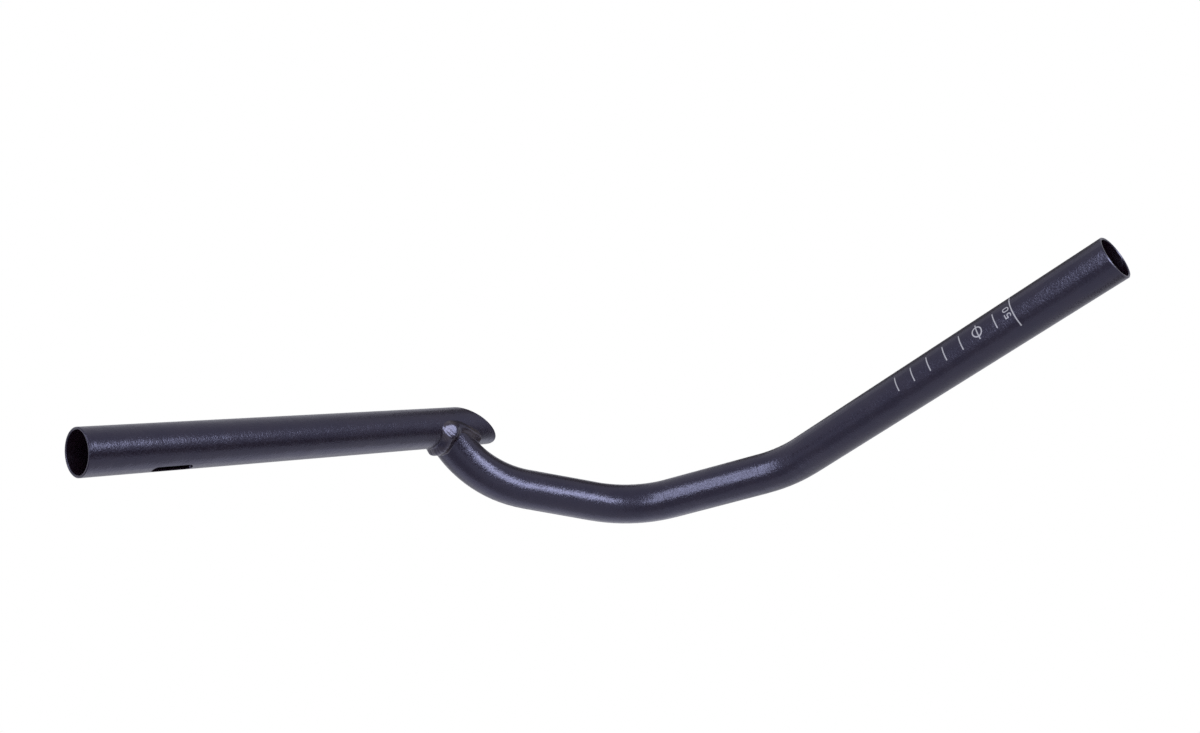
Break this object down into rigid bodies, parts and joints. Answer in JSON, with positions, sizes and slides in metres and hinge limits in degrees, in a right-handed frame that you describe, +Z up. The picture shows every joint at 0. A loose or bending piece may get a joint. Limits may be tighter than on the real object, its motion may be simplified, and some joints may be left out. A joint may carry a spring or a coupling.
{
  "type": "bicycle handlebar half",
  "caption": "Left half of a swept-back bicycle handlebar: bent clamp tube welded into a straight grip tube with a slanted inner end and a cable slot.",
  "frame": {"origin": "centre of the square-cut end that the centre clamp holds", "axes": "+X outboard along the clamped straight, +Y back along the grip tube toward its open outer end, +Z up"},
  "size_m": [0.3367, 0.3383, 0.1183],
  "materials": {
    "bar_finish": "fine satin black coating on aluminium, with a silver-white width scale",
    "grip_finish": "fine satin black coating on aluminium",
    "bead_finish": "the same black coating over the weld's ripples"
  },
  "bodies": {
    "root": {"bar_tube": "bar_finish", "grip_tube": "grip_finish", "weld_bead": "bead_finish"}
  },
  "joints": []
}
